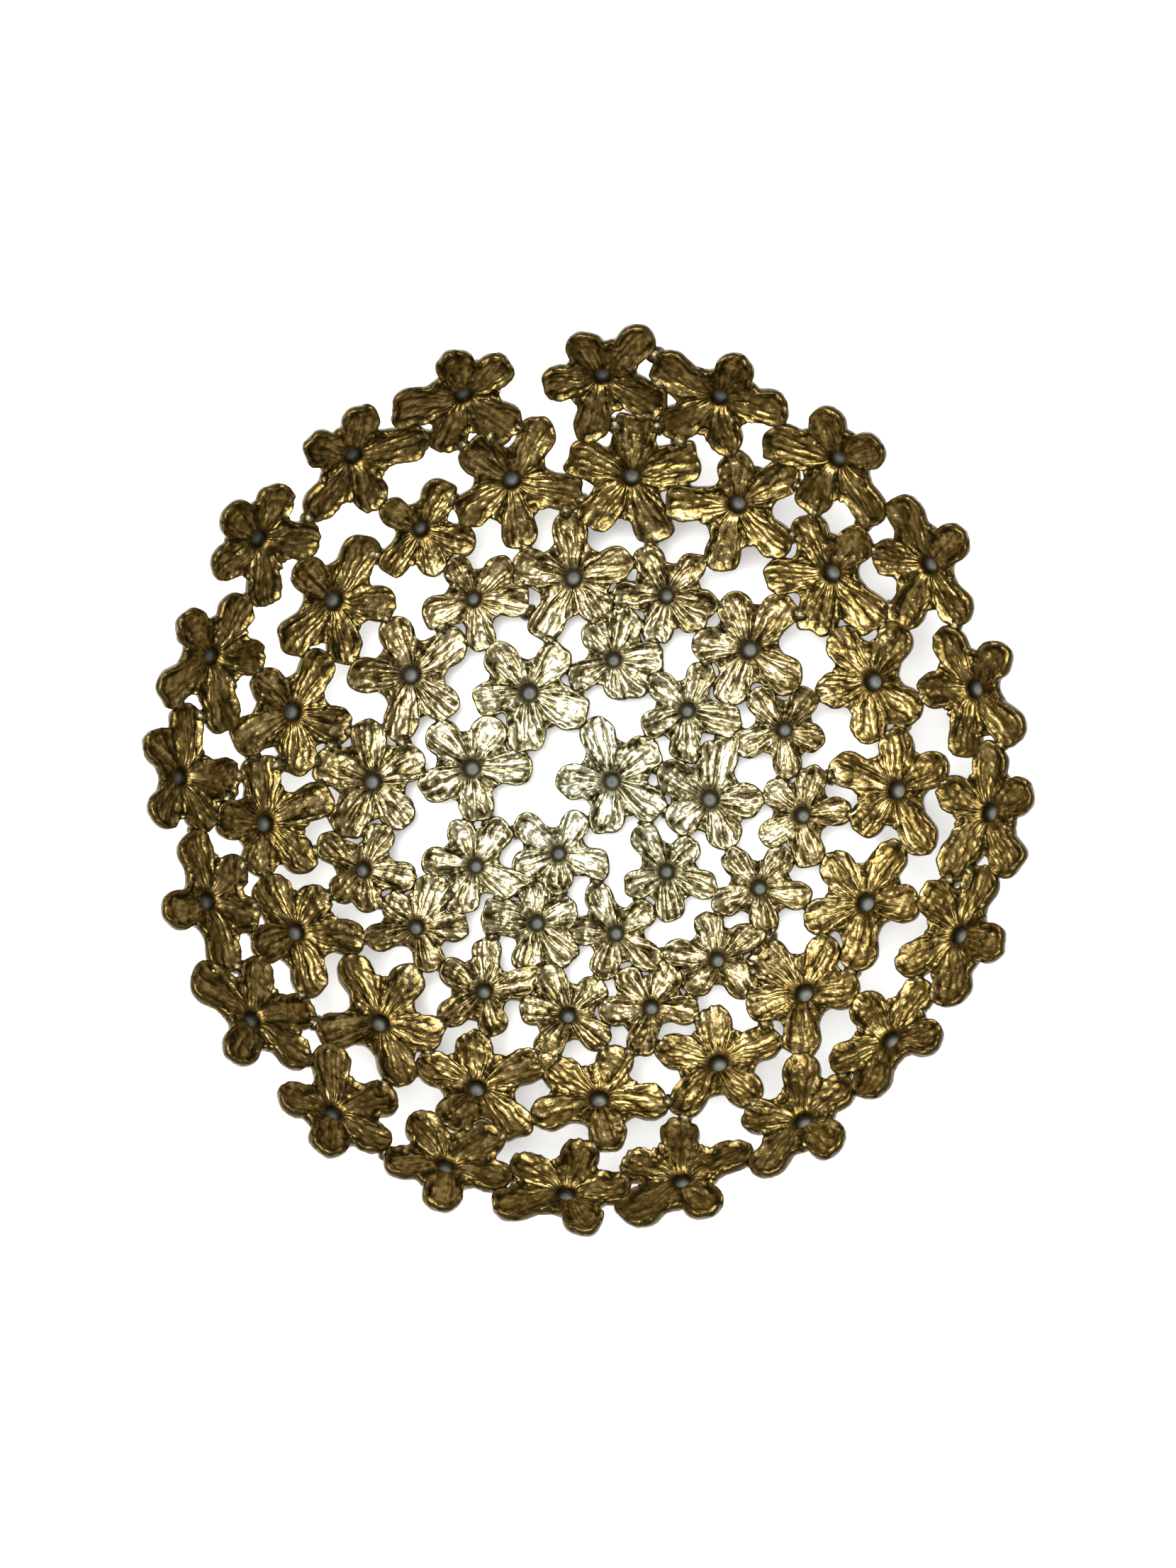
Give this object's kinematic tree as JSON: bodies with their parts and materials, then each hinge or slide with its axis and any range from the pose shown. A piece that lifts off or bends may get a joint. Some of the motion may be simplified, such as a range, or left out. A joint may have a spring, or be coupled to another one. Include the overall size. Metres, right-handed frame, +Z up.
{
  "type": "flower frog",
  "caption": "Open bowl of cast brass flowers brazed petal tip to petal tip; stems stand through the gaps between the petals.",
  "frame": {"origin": "on the ground under the middle of the bowl, in the plane of the boss ends that it stands on", "axes": "+Z up out of the open side of the bowl; +X and +Y across the round rim, +Y toward the rim flower numbered 1"},
  "size_m": [0.2544, 0.2581, 0.0673],
  "materials": {
    "cast_brass": "cast brass with antique gold finish, dark brown patina in the folds, edges rubbed bright",
    "braze_alloy": "dull grey-brown brazing metal, left as it flowed"
  },
  "bodies": {
    "root": {"floor_middle_brazing": "braze_alloy", "floor_middle_flower_01": "cast_brass", "floor_middle_flower_02": "cast_brass", "floor_ring_brazing": "braze_alloy", "floor_ring_flowers": "cast_brass", "lower_brazing": "braze_alloy", "lower_flower_01": "cast_brass", "lower_flower_02": "cast_brass", "lower_flower_03": "cast_brass", "lower_flower_04": "cast_brass", "lower_flower_05": "cast_brass", "lower_flower_06": "cast_brass", "lower_flower_07": "cast_brass", "lower_flower_08": "cast_brass", "lower_flower_09": "cast_brass", "lower_flower_10": "cast_brass", "lower_flower_11": "cast_brass", "lower_flower_12": "cast_brass", "lower_flower_13": "cast_brass", "lower_flower_14": "cast_brass", "lower_flower_15": "cast_brass", "rim_brazing": "braze_alloy", "rim_flower_01": "cast_brass", "rim_flower_02": "cast_brass", "rim_flower_03": "cast_brass", "rim_flower_04": "cast_brass", "rim_flower_05": "cast_brass", "rim_flower_06": "cast_brass", "rim_flower_07": "cast_brass", "rim_flower_08": "cast_brass", "rim_flower_09": "cast_brass", "rim_flower_10": "cast_brass", "rim_flower_11": "cast_brass", "rim_flower_12": "cast_brass", "rim_flower_13": "cast_brass", "rim_flower_14": "cast_brass", "rim_flower_15": "cast_brass", "rim_flower_16": "cast_brass", "rim_flower_17": "cast_brass", "rim_flower_18": "cast_brass", "rim_flower_19": "cast_brass", "rim_flower_20": "cast_brass", "wall_brazing": "braze_alloy", "wall_flower_01": "cast_brass", "wall_flower_02": "cast_brass", "wall_flower_03": "cast_brass", "wall_flower_04": "cast_brass", "wall_flower_05": "cast_brass", "wall_flower_06": "cast_brass", "wall_flower_07": "cast_brass", "wall_flower_08": "cast_brass", "wall_flower_09": "cast_brass", "wall_flower_10": "cast_brass", "wall_flower_11": "cast_brass", "wall_flower_12": "cast_brass", "wall_flower_13": "cast_brass", "wall_flower_14": "cast_brass", "wall_flower_15": "cast_brass", "wall_flower_16": "cast_brass", "wall_flower_17": "cast_brass"}
  },
  "joints": []
}
